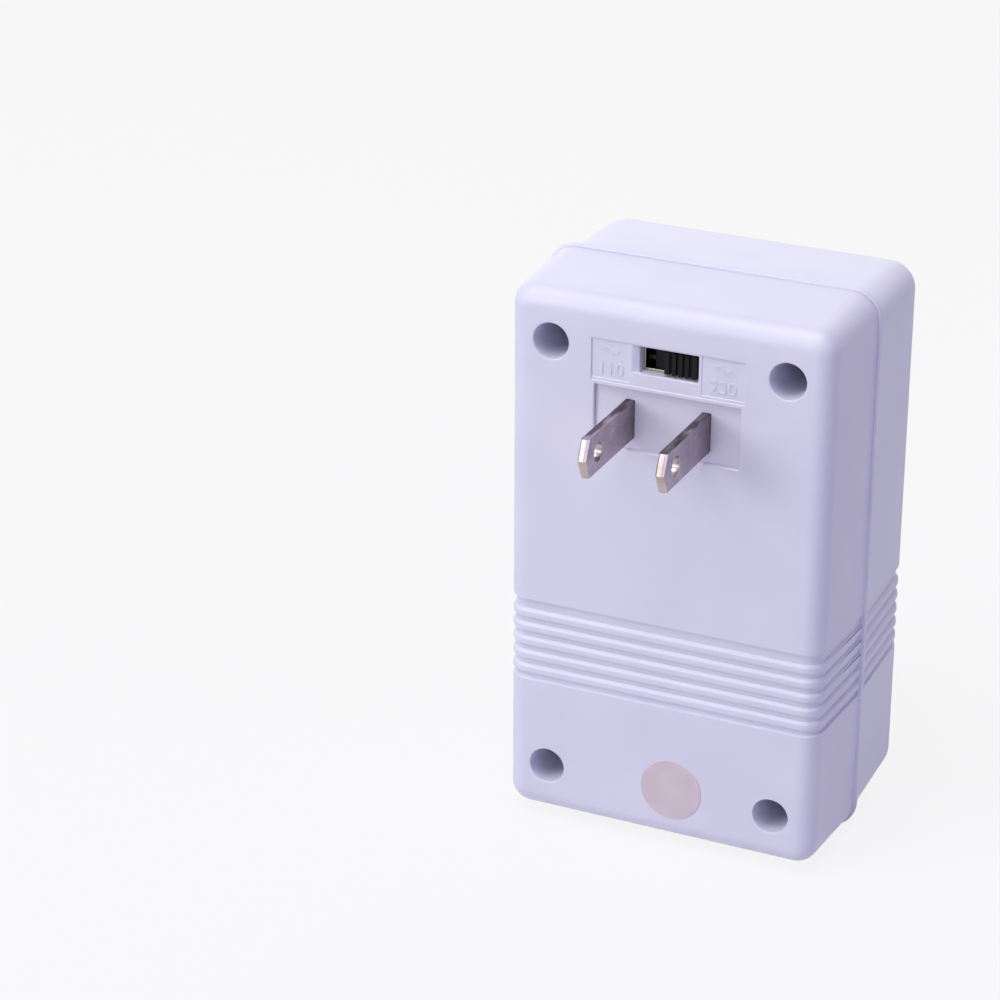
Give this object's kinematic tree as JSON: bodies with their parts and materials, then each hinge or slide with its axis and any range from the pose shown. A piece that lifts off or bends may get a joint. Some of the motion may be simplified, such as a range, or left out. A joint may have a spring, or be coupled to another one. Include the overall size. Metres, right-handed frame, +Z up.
{
  "type": "plug-in voltage transformer",
  "caption": "Small white plug-in voltage transformer with flat plug blades and a voltage slide switch on its rear and a universal socket on its front.",
  "frame": {"origin": "under the middle of the whole part's box, on the plane it stands on", "axes": "it stands on its lower end: +Z up the case's long way, the socket faces -Y, the plug blades point to +Y"},
  "size_m": [0.0562, 0.059, 0.0944],
  "materials": {
    "case": "injection moulded, satin",
    "plate": "injection moulded, satin",
    "blade": "nickel plated",
    "screw": "zinc plated",
    "contact": "phosphor bronze strip, tarnished",
    "insulator": "moulded phenolic",
    "nickel": "nickel plated",
    "switch": "moulded, matt",
    "terminal": "tin plated",
    "core": "stacked laminations, varnished",
    "band": "zinc plated strap",
    "bobbin": "moulded nylon",
    "winding": "enamelled copper wire",
    "tape": "polyester tape",
    "fuse": "metal can",
    "lens": "tinted clear",
    "bulb": "clear glass",
    "resistor": "lacquered ceramic",
    "paper": "paper sticker"
  },
  "bodies": {
    "case": {"front_shell": "case", "rear_shell": "case", "plug_plate": "plate", "plug_blade_right": "blade", "plug_blade_left": "blade", "plug_plate_screw_right": "screw", "plug_plate_screw_left": "screw", "socket_contact_right": "contact", "socket_contact_left": "contact", "earth_contact": "contact", "socket_screw_right": "screw", "socket_screw_left": "screw", "socket_carrier": "insulator", "socket_retainer": "insulator", "case_screw_upper_right": "screw", "case_screw_upper_left": "screw", "case_screw_lower_right": "screw", "case_screw_lower_left": "screw", "switch_frame": "nickel", "switch_body": "switch", "switch_terminal_lower_right": "terminal", "switch_terminal_lower_middle": "terminal", "switch_terminal_lower_left": "terminal", "switch_terminal_upper_right": "terminal", "switch_terminal_upper_middle": "terminal", "switch_terminal_upper_left": "terminal", "core_e": "core", "core_i": "core", "core_band": "band", "bobbin": "bobbin", "winding_lower": "winding", "winding_upper": "winding", "winding_tape_lower": "tape", "winding_tape_upper": "tape", "thermal_fuse": "fuse", "lamp_lens": "lens", "lamp_bulb": "bulb", "lamp_resistor": "resistor", "round_sticker": "paper"},
    "knob": {"switch_knob": "switch", "switch_bridge_lower": "terminal", "switch_bridge_upper": "terminal"}
  },
  "joints": [
    {"name": "knob_slide", "type": "slide", "parent": "case", "child": "knob", "axis": [1, 0, 0], "range_m": [0, 0.0037]}
  ]
}
